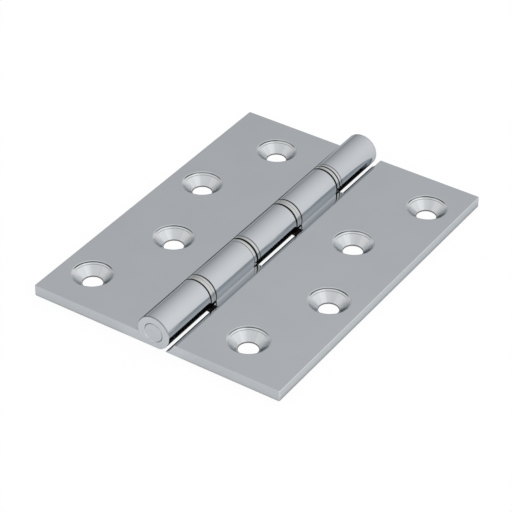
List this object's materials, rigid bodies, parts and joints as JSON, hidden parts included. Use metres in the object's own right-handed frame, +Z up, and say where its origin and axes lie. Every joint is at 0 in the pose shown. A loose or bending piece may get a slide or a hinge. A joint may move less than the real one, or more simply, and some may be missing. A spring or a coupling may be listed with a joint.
{
  "type": "washered butt hinge",
  "caption": "Open butt hinge: flat countersunk leaves joined by an interleaved knuckle barrel on a flush pin, with thin bright washers between the knuckles, for hanging a door.",
  "frame": {"origin": "on the plane of the leaves' backs, below the pin, midway along the barrel", "axes": "+Z up out of the countersunk faces, +Y along the pin towards the end that is further from the viewer, +X towards the leaf with the even knuckles"},
  "size_m": [0.0764, 0.102, 0.0094],
  "materials": {
    "leaf_chrome": "polished chrome plate on solid drawn brass",
    "pin_steel": "plated steel, end ground flush and polished",
    "washer_metal": "bright turned washers, polished with the barrel"
  },
  "bodies": {
    "three_knuckle_side": {"three_knuckle_leaf": "leaf_chrome", "hinge_pin": "pin_steel", "washer_2b": "washer_metal", "washer_4a": "washer_metal", "washer_4b": "washer_metal"},
    "two_knuckle_side": {"two_knuckle_leaf": "leaf_chrome", "washer_1a": "washer_metal", "washer_1b": "washer_metal", "washer_2a": "washer_metal", "washer_3a": "washer_metal", "washer_3b": "washer_metal"}
  },
  "joints": [
    {"name": "leaf_swing", "type": "hinge", "parent": "three_knuckle_side", "child": "two_knuckle_side", "pos_m": [0, 0, 0.0045], "axis": [0, -1, 0], "range_deg": [-56, 183]}
  ]
}
